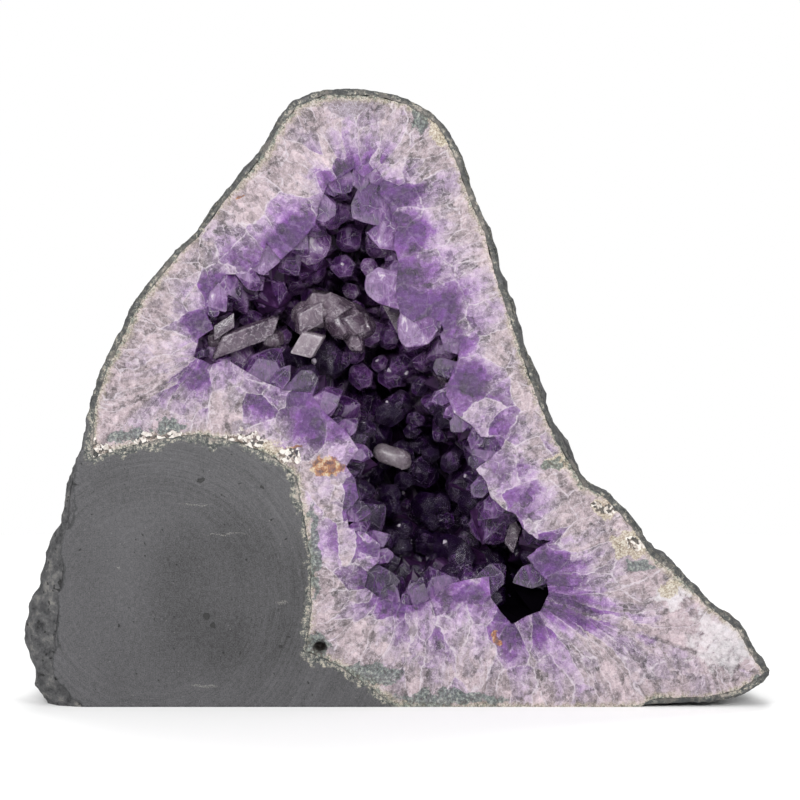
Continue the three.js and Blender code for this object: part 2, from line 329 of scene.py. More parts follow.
def raggedShift(point, waves, fineShare):
    coarse, fine = waves
    return noise.noise_vector(point * coarse) + fineShare * noise.noise_vector(point * fine)


def wander(point):  # a small ragged shift, the same for all that has an edge at this place
    if point.z < faceWork["straightBelow"]:
        return Vector((0, 0, 0))
    shift = raggedShift(point, faceWork["wanderWaves"], 0.5)
    return Vector((shift.x, 0, shift.z)) * faceWork["wander"]


def chip(point, reach):  # a coarser shift, for the outermost edge; reach is its distance to the quartz
    onRind = min(max((reach - 0.8) / 0.9, 0), 1)
    onBasalt = min(max((reach - 3) / 12, 0), 1)
    fine = raggedShift(point, faceWork["chipWaves"], 0.6)
    broad = raggedShift(point, faceWork["breakWaves"], 0.5)
    shift = fine * onRind * faceWork["chips"] + broad * onBasalt * faceWork["breaks"]
    return Vector((shift.x, 0, shift.z))


def refineFace(piece, snapTo=None, neighbour=None):
    mesh = bmesh.new()
    mesh.from_mesh(piece.data)
    if snapTo:
        for vert in [vert for loop in faceLoops(mesh) for vert in loop]:
            near = min(snapTo, key=lambda point: (point - vert.co).length)
            if (near - vert.co).length < faceWork["snap"]:
                vert.co = near
    loops = faceLoops(mesh)
    corners = [vert.co.copy() for loop in loops for vert in loop]
    byCuts = {}
    for loop in loops:
        for first, second in zip(loop, loop[1:] + loop[:1]):
            edge = mesh.edges.get((first, second))
            byCuts.setdefault(int(edge.calc_length() / faceWork["rimStep"]), []).append(edge)
    for cuts, edges in byCuts.items():
        if cuts:
            bmesh.ops.subdivide_edges(mesh, edges=edges, cuts=cuts)
    mesh.normal_update()
    loops = faceLoops(mesh)
    coarse = [face for face in mesh.faces if isFaceTriangle(face)]
    bmesh.ops.delete(mesh, geom=coarse, context="FACES_ONLY")
    for loop in loops:
        raggedLoop(loop, neighbour)
    fillFace(mesh, loops)
    bmesh.ops.triangulate(mesh, faces=[face for face in mesh.faces if len(face.verts) > 3])
    mesh.normal_update()
    mesh.to_mesh(piece.data)
    mesh.free()
    return corners


def raggedLoop(loop, neighbour):
    away = np.zeros(len(loop))
    if neighbour is not None:
        away = distanceToLoop(np.array([(vert.co.x / mm, vert.co.z / mm) for vert in loop]), neighbour)
    for vert, reach in zip(loop, away):
        if vert.co.z > faceWork["straightBelow"]:
            vert.co += wander(vert.co) + chip(vert.co, reach)
            vert.co.z = max(vert.co.z, 0.3 * mm)


def insideLoops(points, loops):
    inside = np.zeros(len(points), bool)
    for loop in loops:
        for (ax, az), (bx, bz) in zip(loop, np.roll(loop, -1, axis=0)):
            if az == bz:
                continue
            crosses = (az > points[:, 1]) != (bz > points[:, 1])
            inside ^= crosses & (points[:, 0] < (bx - ax) * (points[:, 1] - az) / (bz - az) + ax)
    return inside


def placeOnLoop(points, loop):  # each point's distance from the loop, and how far round it is, from 0 to 1
    best = np.full(len(points), 1e9)
    place = np.zeros(len(points))
    walked = 0.0
    for start, end in zip(loop, np.roll(loop, -1, axis=0)):
        along = end - start
        length = float(np.hypot(*along))
        if length < 1e-9:
            continue
        share = np.clip(((points - start) @ along) / length**2, 0, 1)
        away = np.hypot(*(points - start - share[:, None] * along).T)
        nearer = away < best
        best[nearer] = away[nearer]
        place[nearer] = walked + share[nearer] * length
        walked += length
    return best, place / walked


def distanceToLoop(points, loop):
    return placeOnLoop(points, loop)[0]


def fillFace(mesh, loops):  # an even web of small triangles inside the loops
    flatLoops = [np.array([(vert.co.x, vert.co.z) for vert in loop]) for loop in loops]
    low = np.min([loop.min(0) for loop in flatLoops], axis=0)
    high = np.max([loop.max(0) for loop in flatLoops], axis=0)
    grain = faceWork["grain"]
    rows = []
    for row, z in enumerate(np.arange(low[1], high[1], grain * 0.87)):
        xs = np.arange(low[0] + grain * 0.5 * (row % 2), high[0], grain)
        rows.append(np.stack([xs, np.full_like(xs, z)], 1))
    points = np.concatenate(rows)
    points += np.random.default_rng(5).uniform(-0.15, 0.15, points.shape) * grain
    points = points[insideLoops(points, flatLoops)]
    for loop in flatLoops:
        points = points[distanceToLoop(points, loop) > grain * 0.6]
    rim = [vert for loop in loops for vert in loop]
    edges = []
    start = 0
    for loop in loops:
        edges += [(start + i, start + (i + 1) % len(loop)) for i in range(len(loop))]
        start += len(loop)
    flat = [Vector((vert.co.x, vert.co.z)) for vert in rim] + [Vector(point) for point in points]
    outPoints, _, faces, origins, _, _ = delaunay_2d_cdt(flat, edges, [], 0, 1e-8)
    made = []
    for point, origin in zip(outPoints, origins):
        onRim = origin and origin[0] < len(rim)
        made.append(rim[origin[0]] if onRim else mesh.verts.new((point.x, faceY, point.y)))
    middles = np.array([np.mean([outPoints[i] for i in face], axis=0) for face in faces])
    for face, inside in zip(faces, insideLoops(middles, flatLoops)):
        corners = [made[i] for i in face]
        if not inside or len(set(corners)) < 3 or mesh.faces.get(corners):
            continue
        a, b, c = (outPoints[i] for i in face[:3])
        turn = (b.x - a.x) * (c.y - a.y) - (b.y - a.y) * (c.x - a.x)
        mesh.faces.new(corners if turn > 0 else corners[::-1])


def flatLoopsOf(piece):  # widest first, in millimetres
    mesh = bmesh.new()
    mesh.from_mesh(piece.data)
    loops = [np.array([(vert.co.x / mm, vert.co.z / mm) for vert in loop]) for loop in faceLoops(mesh)]
    mesh.free()
    return sorted(loops, key=lambda loop: -np.ptp(loop[:, 0]))


def pointsOf(piece):  # in millimetres
    points = np.zeros(len(piece.data.vertices) * 3, np.float32)
    piece.data.vertices.foreach_get("co", points)
    return points.reshape(-1, 3) / mm


def storeVectors(piece, name, values):
    layer = piece.data.attributes.new(name, "FLOAT_VECTOR", "POINT")
    layer.data.foreach_set("vector", np.asarray(values, np.float32).ravel())


def ripenessGrid(outer, inner):  # 0 on the outer wall of the band, 1 on the cavity, even between
    step = faceWork["gridStep"]
    xs = np.arange(outer[:, 0].min() - 4, outer[:, 0].max() + 4, step)
    zs = np.arange(outer[:, 1].min() - 4, outer[:, 1].max() + 4, step)
    gx, gz = np.meshgrid(xs, zs)
    points = np.stack([gx.ravel(), gz.ravel()], 1)
    inCavity = insideLoops(points, [inner]).reshape(gx.shape)
    inBand = insideLoops(points, [outer]).reshape(gx.shape) & ~inCavity
    fromOuter = distanceToLoop(points, outer).reshape(gx.shape)
    fromInner = distanceToLoop(points, inner).reshape(gx.shape)
    grid = np.where(inBand, fromOuter / (fromOuter + fromInner + 1e-6), inCavity.astype(float))
    for _ in range(faceWork["growthRounds"]):
        around = grid[:-2, 1:-1] + grid[2:, 1:-1] + grid[1:-1, :-2] + grid[1:-1, 2:]
        grid[1:-1, 1:-1] = np.where(inBand[1:-1, 1:-1], around / 4, grid[1:-1, 1:-1])
    return xs, zs, grid


def sampleGrid(xs, zs, grid, points):
    step = faceWork["gridStep"]
    u = np.clip((points[:, 0] - xs[0]) / step, 0, len(xs) - 1.001)
    v = np.clip((points[:, 1] - zs[0]) / step, 0, len(zs) - 1.001)
    i, j = u.astype(int), v.astype(int)
    fu, fv = u - i, v - j
    low = grid[j, i] * (1 - fu) + grid[j, i + 1] * fu
    high = grid[j + 1, i] * (1 - fu) + grid[j + 1, i + 1] * fu
    return low * (1 - fv) + high * fv


def walkToRock(points, ripeness):  # follows each point's growth line back to the rock
    xs, zs, grid = ripeness
    slopeZ, slopeX = np.gradient(grid, faceWork["gridStep"])
    at = points.copy()
    for _ in range(faceWork["walkSteps"]):
        gx = sampleGrid(xs, zs, slopeX, at)
        gz = sampleGrid(xs, zs, slopeZ, at)
        size = np.hypot(gx, gz) + 1e-9
        moving = (sampleGrid(xs, zs, grid, at) > 0.03)[:, None]
        at = at - moving * np.stack([gx / size, gz / size], 1) * faceWork["walkStep"]
    return at


def growthOf(points, outer, ripeness):  # the place round the band, as a point on a circle, and the ripeness
    ripe = sampleGrid(*ripeness, points)
    angle = placeOnLoop(walkToRock(points, ripeness), outer)[1] * 2 * math.pi
    radius = np.hypot(*(np.roll(outer, -1, axis=0) - outer).T).sum() / (2 * math.pi)
    return np.stack([radius * np.cos(angle), radius * np.sin(angle), ripe], 1)


def crowdingOf(piece, growth):  # how many times closer together the growth lines are than at the rock
    ends = np.zeros(len(piece.data.edges) * 2, np.int32)
    piece.data.edges.foreach_get("vertices", ends)
    first, second = ends.reshape(-1, 2).T
    points = pointsOf(piece)
    apart = np.linalg.norm(points[first] - points[second], axis=1) + 1e-6
    turned = np.linalg.norm(growth[first, :2] - growth[second, :2], axis=1)
    total = np.zeros(len(points))
    count = np.zeros(len(points))
    for end in (first, second):
        np.add.at(total, end, np.minimum(turned / apart, faceWork["mostCrowded"]))
        np.add.at(count, end, 1)
    return total / np.maximum(count, 1)


vug = {  # the open pocket between quartz and basalt, in mm
    "place": (-30.5, 24),
    "radius": 3.4,
    "depth": 5.0,
}


def pressVug(piece):
    for vert in piece.data.vertices:
        away = math.hypot(vert.co.x / mm - vug["place"][0], (vert.co.z / mm - vug["place"][1]) * 1.3)
        if isOnFace(vert.co) and away < vug["radius"]:
            vert.co.y += vug["depth"] * mm * (1 - (away / vug["radius"]) ** 2) ** 1.5


print("quartz band")
quartzBand = copyOfNode("quartz_band", "quartz_band_polished")
quartzCorners = refineFace(quartzBand)
bandOuter, bandInner = flatLoopsOf(quartzBand)[:2]
bandPoints = pointsOf(quartzBand)
bandFlat = bandPoints[:, [0, 2]].astype(float)
bandGrowth = growthOf(bandFlat, bandOuter, ripenessGrid(bandOuter, bandInner))
bandCrowding = crowdingOf(quartzBand, bandGrowth)
bandReach = [distanceToLoop(bandFlat, bandOuter), bandCrowding, bandPoints[:, 1] - faceY / mm]
storeVectors(quartzBand, "growth", bandGrowth)
storeVectors(quartzBand, "reach", np.stack(bandReach, 1))
pressVug(quartzBand)
print("quartz band", len(quartzBand.data.polygons), "faces")


quartzLook = {
    "columns": 0.08,  # crystals per millimetre across
    "fibres": 0.34,
    # patches on the face: x, z, half width and half height in mm
    "agate": [(-19, 240, 9, 4), (-62, 112, 4.5, 3.2)],
    "cream": [(17, 232, 5, 9), (94, 66, 10, 7), (66, 98, 8, 3.5), (-52, 103, 12, 4), (110, 48, 5, 4),
              (84, 80, 7, 5)],
    "rust": [(-28, 95.5, 8.5, 4.5), (40, 28, 1.8, 3), (-62, 204, 1.6, 1.6), (-40, 104, 5, 1.5)],
    "violet": [(-41, 188, 10, 9), (-27, 212, 8, 6), (3, 206, 9, 5), (7, 191, 8, 11), (15, 157, 12, 12),
               (-79, 155, 8, 6), (-83, 132, 9, 5), (-31, 113, 14, 9), (4, 41, 8, 5), (29, 45, 7, 4),
               (66, 54, 12, 8), (78, 38, 17, 9), (100, 37, 9, 6), (48, 90, 12, 9), (-72, 168, 7, 7),
               (102, 29, 7, 5), (30, 131, 7, 9), (-46, 122, 12, 8)],
    # pale: painted paler as painted reflection, where the polished face would catch a lamp
    "pale": [(131, 26, 16, 13), (112, 46, 8, 7)],
    "green": [(-91, 112.5, 7, 2.8), (-107, 109, 9, 3.5), (-33, 25, 8, 5), (-12, 13, 17, 4.5),
              (22, 3.5, 26, 4), (97, 57, 8, 2.4), (63, 97, 6, 2), (9, 236, 3, 9), (-33, 62, 2.5, 22),
              (146, 9, 6, 4)],
    "crumbs": [(-93, 107, 15, 4), (-61, 106, 10, 4.5), (-118, 103, 7, 4), (-44, 101, 7, 3.5),
               (84, 80, 7, 2.5), (98, 66, 7, 2.5)],
}


def quartzFinish():
    paint = Paint("quartz")
    place = paint.place()
    edge, crowding, depth = paint.split(paint.attribute("reach"))
    wobble = paint.vector("SUBTRACT", paint.noiseVector(place, 0.12, 3), (0.5, 0.5, 0.5))
    bent = paint.vector("ADD", paint.attribute("growth"), paint.stretched(wobble, (6, 6, 0.16)))
    ripe = paint.split(bent)[2]
    broad = paint.noise(place, 0.02, 2)
    grain = paint.noise(place, 0.5, 6, 0.74)
    speck = paint.noise(place, 1.6, 3, 0.7)
    streak = paint.noise(paint.stretched(bent, (0.6, 0.6, 2.6)), 1.0, 6, 0.7)
    fan = 1 - crowding.step(1.8, 5.0) * 0.85  # lines fade where they crowd

    # crystals side by side, long along the growth, with pale seams where they meet
    across = quartzLook["columns"]
    columns = paint.stretched(bent, (across, across, 1.9))
    middle = paint.cells(columns, 1.0, "F1", 2)
    tint = paint.split(paint.cells(columns, 1.0, "F1", 1))
    seam = paint.cells(columns, 1.0, "DISTANCE_TO_EDGE", 0)
    sideX, sideY, _ = paint.split(paint.vector("SUBTRACT", columns, middle))
    aside = (sideX * sideX + sideY * sideY).power(0.5)
    fine = quartzLook["fibres"]
    fibres = paint.stretched(bent, (fine, fine, 5.2))
    fibreTint = paint.split(paint.cells(fibres, 1.0, "F1", 1))
    fibreSeam = paint.cells(fibres, 1.0, "DISTANCE_TO_EDGE", 0)
    torn = paint.frayed(place, 11)
    crystal = paint.split(paint.cells(place, 0.42, "F1", 1))  # small crystals in no order
    plate = paint.split(paint.cells(torn, 0.17, "F1", 1))  # and the planes that shine within the large ones
    plateEdge = paint.cells(torn, 0.17, "DISTANCE_TO_EDGE", 0)

    # violet comes to a point in the middle of each crystal
    violet = ripe + (tint[0] - 0.5) * 0.65 - aside * 0.5 + (broad - 0.5) * 0.9 + (streak - 0.5) * 0.7
    violet = violet + (crystal[0] - 0.5) * 0.1 + paint.patches(torn, quartzLook["violet"]) * 0.36 - 0.03
    # painted reflection: less violet in the pale patches
    violet = violet + (plate[0] - 0.5) * 0.22 - paint.patches(torn, quartzLook["pale"]) * 0.25
    colour = paint.ramp(
        violet,
        (0.0, (0.24, 0.19, 0.205)),
        (0.2, (0.235, 0.188, 0.225)),
        (0.42, (0.21, 0.15, 0.23)),
        (0.6, (0.15, 0.088, 0.185)),
        (0.76, (0.1, 0.036, 0.145)),
        (0.9, (0.07, 0.018, 0.112)),
        (1.0, (0.045, 0.01, 0.078)),
    )
    # brightness from the grain and crystals, with the planes of the large ones lighter or darker as painted
    # internal reflections
    toneAndShine = tint[1] * 0.2 + fibreTint[1] * 0.34 * fan + crystal[1] * 0.3 + plate[1] * 0.42
    toneAndShine = toneAndShine + grain * 1.1 + (speck - 0.5) * 0.9
    toneAndShine = (toneAndShine * 1.85 - 1.0).atLeast(0.2)
    colour = paint.mix(1.0, colour, paint.grey(toneAndShine), "MULTIPLY")

    # seams, healed cracks and milky feathers, and white specks painted as glints
    veins = (1 - seam.step(0.0, 0.035)) * streak.step(0.4, 0.56) * fan * 0.85
    threads = (1 - fibreSeam.step(0.0, 0.055)) * streak.step(0.48, 0.6) * fan * 0.7
    feathers = streak.step(0.55, 0.72) * fan * 0.6
    # painted highlight: small white specks stand in for glints on the polished face
    paintedGlints = speck.step(0.6, 0.68) * grain.step(0.46, 0.58) * 0.8
    cracks = (1 - plateEdge.step(0.0, 0.03)) * grain.step(0.42, 0.58) * 0.7
    milkAndHighlights = veins.atLeast(threads).atLeast(feathers).atLeast(paintedGlints).atLeast(cracks)
    milkAndHighlights = milkAndHighlights * (1 - violet.step(0.5, 0.85) * 0.82)
    colour = paint.mix(milkAndHighlights.atMost(0.9), colour, (0.52, 0.46, 0.51))
    # painted reflection: the pale patches are painted light grey where the polished face would catch a lamp
    paintedSheen = paint.patches(paint.frayed(place, 26), quartzLook["pale"])
    paintedSheen = (paintedSheen + (grain - 0.5) * 2.0).step(0.1, 1.3)
    colour = paint.mix(paintedSheen * 0.6, colour, (0.62, 0.6, 0.62))
    # painted shade: dark specks in the low spots of the grain, the hollows of its relief
    hollowShade = (1 - grain.step(0.32, 0.43)) * (1 - ripe.step(0.4, 0.95) * 0.6) * 0.7
    colour = paint.mix(hollowShade, colour, (0.1, 0.065, 0.085))

    # stains and fillings
    rough = (grain - 0.5) * 1.6 + (speck - 0.5) * 0.8
    agate = (paint.patches(torn, quartzLook["agate"]) + rough * 0.3).step(0.3, 0.6)
    rings = paint.noise(paint.stretched(torn, (0.16, 0, 0.24)), 1.0, 2, 0.4, 3.0)
    bands = paint.ramp(
        rings,
        (0.4, (0.13, 0.1, 0.12)),
        (0.47, (0.34, 0.3, 0.36)),
        (0.53, (0.17, 0.135, 0.165)),
    )
    colour = paint.mix(agate * 0.8, colour, bands)
    cream = (paint.patches(torn, quartzLook["cream"]) + rough).step(0.4, 0.75)
    creamColour = paint.ramp(
        speck,
        (0.36, (0.16, 0.11, 0.065)),
        (0.5, (0.38, 0.32, 0.22)),
        (0.64, (0.6, 0.56, 0.46)),
    )
    colour = paint.mix(cream * 0.75, colour, creamColour)
    rust = (paint.patches(torn, quartzLook["rust"]) + rough).step(0.5, 0.9)
    rustColour = paint.ramp(
        paint.noise(place, 0.32, 4, 0.7),
        (0.38, (0.03, 0.01, 0.01)),
        (0.46, (0.15, 0.045, 0.01)),
        (0.53, (0.36, 0.14, 0.02)),
        (0.6, (0.5, 0.4, 0.25)),
    )
    colour = paint.mix(rust * 0.85, colour, rustColour)

    # tan, then green and black crust against the rock
    reach = edge + (grain - 0.5) * 8.0 + (broad - 0.5) * 8.0
    tan = (1 - reach.step(-0.4, 3.2)) * 0.75
    colour = paint.mix(tan, colour, creamColour)
    green = (paint.patches(torn, quartzLook["green"]) + rough * 1.3).step(0.45, 0.7)
    green = green.atLeast((1 - (reach + (speck - 0.5) * 5.0).step(-1.0, 1.4)))
    greenColour = paint.ramp(
        paint.noise(place, 0.75, 5, 0.75),
        (0.4, (0.008, 0.01, 0.01)),
        (0.47, (0.032, 0.05, 0.047)),
        (0.54, (0.1, 0.14, 0.13)),
        (0.62, (0.28, 0.3, 0.26)),
    )
    colour = paint.mix(green * 0.8, colour, greenColour)
    crumbs = (paint.patches(torn, quartzLook["crumbs"]) + rough * 0.9).step(0.42, 0.6)
    crumb = paint.split(paint.cells(paint.frayed(place, 3), 0.8, "F1", 1))[0]
    crumbColour = paint.ramp(
        crumb + (speck - 0.5) * 0.9,
        (0.22, (0.006, 0.006, 0.007)),
        (0.4, (0.12, 0.08, 0.06)),
        (0.58, (0.42, 0.37, 0.33)),
        (0.85, (0.7, 0.66, 0.62)),
    )
    colour = paint.mix(crumbs * 0.85, colour, crumbColour)
    # painted shade: the vug pocket is painted near black
    pocket = paint.patch(place, (*vug["place"], vug["radius"] * 0.9, vug["radius"] * 0.7))
    colour = paint.mix(pocket, colour, (0.01, 0.008, 0.006))

    roughness = 0.26 + tan * 0.35 + green * 0.2 + (grain - 0.5) * 0.4
    relief = seam.step(0, 0.1) * 0.3 * fan + grain * 0.9 + speck * 0.4
    relief = relief + streak * 0.5 * fan + plate[2] * 0.5
    normal = paint.bump(relief, 0.0009, 0.7)
    return paint.finish(Base_Color=colour, Roughness=roughness, Normal=normal, IOR=1.54)


print("basalt")
hostRock = copyOfNode("basalt_host_rock", "basalt_host_rock_rough")
refineFace(hostRock, quartzCorners, bandOuter)

rockWork = {
    "cuts": 5,
    "lump": 8.0 * mm,  # how far the broken side goes in and out
    "lumpSize": 21 * mm,
    "grit": 3.0 * mm,
    "gritSize": 6.0 * mm,
    "smoothing": 4,  # rounds, before it is roughened
}


def weatheredFaces(piece):  # all but the two sawn faces and the pocket that the quartz fills
    pocket = BVHTree.FromObject(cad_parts["quartz_band"], bpy.context.evaluated_depsgraph_get())

    def isWeathered(face):
        if face.normal.y < -0.99 and isOnFace(face.center):
            return False
        if face.normal.z < -0.99 and face.center.z < 0.1 * mm:
            return False
        return pocket.find_nearest(face.center)[3] > 1.0 * mm

    return [face.index for face in piece.data.polygons if isWeathered(face)]


def selectOnly(piece, faces=(), verts=()):
    startEditing(piece, "DESELECT")
    stopEditing()
    for index in faces:
        piece.data.polygons[index].select = True
    for index in verts:
        piece.data.vertices[index].select = True


def roughenRock(piece):
    selectOnly(piece, faces=weatheredFaces(piece))
    bpy.ops.object.mode_set(mode="EDIT")
    bpy.ops.mesh.select_mode(type="FACE")
    bpy.ops.mesh.subdivide(number_cuts=rockWork["cuts"])
    bpy.ops.mesh.quads_convert_to_tris()
    bpy.ops.mesh.select_mode(type="VERT")
    stopEditing()
    weathered = set(weatheredFaces(piece))
    fixed = {v for face in piece.data.polygons if face.index not in weathered for v in face.vertices}
    free = [index for index in range(len(piece.data.vertices)) if index not in fixed]
    selectOnly(piece, verts=free)
    bpy.ops.object.mode_set(mode="EDIT")
    bpy.ops.mesh.vertices_smooth(factor=0.5, repeat=rockWork["smoothing"])
    stopEditing()
    deep = piece.vertex_groups.new(name="deep")
    near = piece.vertex_groups.new(name="near")
    for index in free:
        place = piece.data.vertices[index].co
        depth = (place.y - faceY) / mm
        deep.add([index], min(max(depth / 9, 0), 1) * min(place.z / (4 * mm), 1), "REPLACE")
        near.add([index], min(max(depth / 1.5, 0.25), 1) * min(place.z / (2 * mm), 1), "REPLACE")
    for name, group, detail in (("lump", "deep", 3), ("grit", "near", 5)):
        texture = cloudTexture(name, rockWork[name + "Size"], detail)
        settings = {"texture": texture, "strength": rockWork[name], "mid_level": 0.5, "vertex_group": group}
        applyModifier(piece, "DISPLACE", **settings)
    piece.vertex_groups.clear()


roughenRock(hostRock)
rockPoints = pointsOf(hostRock)
rockFlat = rockPoints[:, [0, 2]].astype(float)
rockReach = [
    distanceToLoop(rockFlat, flatLoopsOf(hostRock)[0]),
    distanceToLoop(rockFlat, bandOuter),
    rockPoints[:, 1] - faceY / mm,
]
storeVectors(hostRock, "reach", np.stack(rockReach, 1))
pressVug(hostRock)
print("basalt", len(hostRock.data.polygons), "faces")


basaltLook = {
    "sawCentre": (-97, 0, 44),  # mm, the middle of the arcs that the saw left
    # x, z, half width and half height in mm
    "pits": [(-78, 91, 1.8, 1.2), (-76, 36, 1.6, 1.9), (-73, 32.5, 1.1, 1.1), (-53.5, 87.5, 1.1, 0.7),
             (-100, 61, 0.5, 0.5), (-46, 24.5, 0.9, 0.7), (-43, 27.5, 0.6, 0.6), (-111, 32, 0.6, 0.6),
             (-62, 21, 0.5, 0.8)],
    "scratches": [(-68, 69.3, 9, 0.3), (-80, 81, 7, 0.3), (-46, 42, 2.5, 0.8), (-77, 8.5, 6, 0.7),
                  (-111, 55, 1, 0.6)],
    "dark": (-64, 44, 42, 36),
}


def basaltFinish():
    paint = Paint("basalt")
    place = paint.place()
    rim, contact, depth = paint.split(paint.attribute("reach"))
    x, _, height = paint.split(place)
    sawn = (1 - depth.step(0.1, 0.5)).atLeast(1 - height.step(0.02, 0.2))
    fine = paint.noise(place, 2.0, 4, 0.7)
    grain = paint.noise(place, 0.6, 5, 0.72)
    coarse = paint.noise(place, 0.03, 3, 0.5)
    torn = paint.frayed(place, 4)

    # sawn face, with broken arcs, scratches, and pits painted near black as painted shade
    flat = paint.stretched(place, (1, 0, 1))
    fromSaw = paint.vector("DISTANCE", flat, basaltLook["sawCentre"], output=1)
    lineAt = [fromSaw * 0.8 + grain * 0.5, x * 0.02 + coarse * 3.0, height * 0.02]
    line = paint.add("ShaderNodeCombineXYZ", None, lineAt)
    arc = (paint.noise(line, 1.0, 6, 0.78) - 0.5) * fromSaw.step(20, 55)
    tone = 0.056 + arc * 0.1 + (fine - 0.5) * 0.17 + (coarse - 0.5) * 0.04 + (grain - 0.5) * 0.08
    tone = tone - paint.patch(torn, basaltLook["dark"]) * 0.022
    sawnColour = paint.add("ShaderNodeCombineColor", None, [tone, tone * 0.98, tone * 1.05])
    scratch = paint.patches(torn, basaltLook["scratches"]) * fine.step(0.42, 0.6) * 0.4
    flecks = paint.noise(place, 1.2, 2, 0.7).step(0.73, 0.76) * 0.5
    sawnColour = paint.mix(scratch.atLeast(flecks), sawnColour, (0.34, 0.33, 0.3))
    # painted shade: the pits, dipped only in the bump, are painted near black
    pits = (paint.patches(torn, basaltLook["pits"]) + (fine - 0.5) * 1.2).step(0.5, 0.75)
    pits = pits.atLeast(paint.noise(place, 0.5, 2, 0.5).step(0.73, 0.76))
    sawnColour = paint.mix(pits * 0.93, sawnColour, (0.006, 0.006, 0.006))

    # broken and weathered outside
    crag = paint.noise(place, 0.2, 7, 0.7)
    broken = paint.ramp(
        crag,
        (0.34, (0.018, 0.018, 0.02)),
        (0.45, (0.07, 0.07, 0.073)),
        (0.55, (0.115, 0.114, 0.117)),
        (0.7, (0.27, 0.26, 0.24)),
    )
    away = depth.step(8, 30)
    rust = paint.noise(place, 0.045, 5, 0.7).step(0.5, 0.64) * 0.6 * away
    rustColour = paint.ramp(grain, (0.35, (0.07, 0.05, 0.034)), (0.65, (0.2, 0.155, 0.11)))
    broken = paint.mix(rust, broken, rustColour)
    moss = paint.noise(place, 0.06, 5, 0.7).step(0.55, 0.66) * 0.6 * away
    mossColour = paint.ramp(grain, (0.4, (0.04, 0.055, 0.046)), (0.6, (0.15, 0.18, 0.145)))
    broken = paint.mix(moss, broken, mossColour)
    # painted shade: the vesicle holes, dipped only in the bump, are painted near black
    vesicles = paint.noise(place, 0.42, 2, 0.4).step(0.66, 0.7)
    broken = paint.mix(vesicles * 0.85, broken, (0.012, 0.012, 0.012))
    colour = paint.mix(sawn, broken, sawnColour)

    # green, black and cream skin where the basalt meets the quartz
    uneven = paint.noise(place, 0.09, 3, 0.6)
    reach = contact + (grain - 0.5) * 5.0 + (fine - 0.5) * 2.0 + (uneven - 0.5) * 14.0
    skin = (1 - reach.step(1.8, 3.4)).atLeast(1 - contact.step(0.1, 0.7)) * (1 - depth.step(4.0, 9.0))
    skinColour = paint.ramp(
        paint.noise(place, 0.7, 5, 0.78),
        (0.4, (0.008, 0.01, 0.01)),
        (0.46, (0.04, 0.047, 0.045)),
        (0.52, (0.12, 0.125, 0.112)),
        (0.6, (0.42, 0.38, 0.31)),
    )
    colour = paint.mix(skin * 0.9, colour, skinColour)
    tongue = (1 - (reach + (fine - 0.5) * 5.0).step(-1.0, 0.8)) * (1 - depth.step(1.0, 3.0))
    colour = paint.mix(tongue * 0.8, colour, (0.3, 0.26, 0.23))
    edge = (1 - (rim + (grain - 0.5) * 3.0).step(0.1, 0.7)) * sawn
    colour = paint.mix(edge * 0.7, colour, (0.014, 0.015, 0.016))
    # painted shade: the vug pocket is painted near black
    pocket = paint.patch(place, (*vug["place"], vug["radius"] * 0.9, vug["radius"] * 0.7))
    colour = paint.mix(pocket, colour, (0.01, 0.009, 0.008))

    roughness = 0.85 - sawn * 0.33 + (fine - 0.5) * 0.2
    relief = (crag * 1.8 + grain * 0.8 + fine * 0.2 - vesicles * 0.5) * (1 - sawn)
    relief = relief + (arc * 0.12 - pits * 0.6 + fine * 0.06) * sawn
    normal = paint.bump(relief, 0.0018, 1.0)
    return paint.finish(Base_Color=colour, Roughness=roughness, Normal=normal, IOR=1.5)


pointWork = {
    "variants": 9,
    # mm: least, most, tries, kept
    "sizes": [(8.0, 10.5, 60, 30), (5.6, 7.8, 900, 130), (3.6, 5.4, 2600, 260), (2.2, 3.4, 3000, 240)],
    "simpleBelow": 3.6,  # mm; smaller crystals are plain ones
    "spacing": 0.7,
    "lean": 0.36,
    "behind": (0.25, 1.5),  # mm, how far behind the polished face they are cut
    "bevel": 0.045,
    "bulge": 0.03,
    # painted shade: the hole is kept free of crystals and the druse behind it is painted near black
    "hole": (53, 40.5, 9.5),  # the dark hole between the crystals: x, z and radius in mm
    # where the crystals are painted darker as painted shade: x, z, half width and half height
    "dark": [(53, 41, 14, 14), (-44, 131, 20, 10)],
    # the nest of crystals that face out: height, how far behind the face at the middle, tone, painted
    # darker low down and paler high up as painted shade and light
    "nest": [(60, 44, 1.0), (85, 40, 0.98), (110, 33, 0.9), (125, 28, 0.75), (140, 22, 0.48),
             (150, 18, 0.38), (170, 13, 0.32), (210, 8, 0.34)],
    "nestTries": 9000,
    "nestRadius": (3.7, 7.8),
    "nestLength": (18, 26),
    "nestSpacing": 0.64,
    # small points painted near white as painted glints: x, z
    "clear": [(-8, 139), (-3, 135), (4, 134), (14, 132), (-16, 111), (23, 111), (3, 83), (1, 71),
              (45, 52), (12, 50), (-22, 178), (-4, 122), (-34, 139), (28, 92), (20, 64)],
}


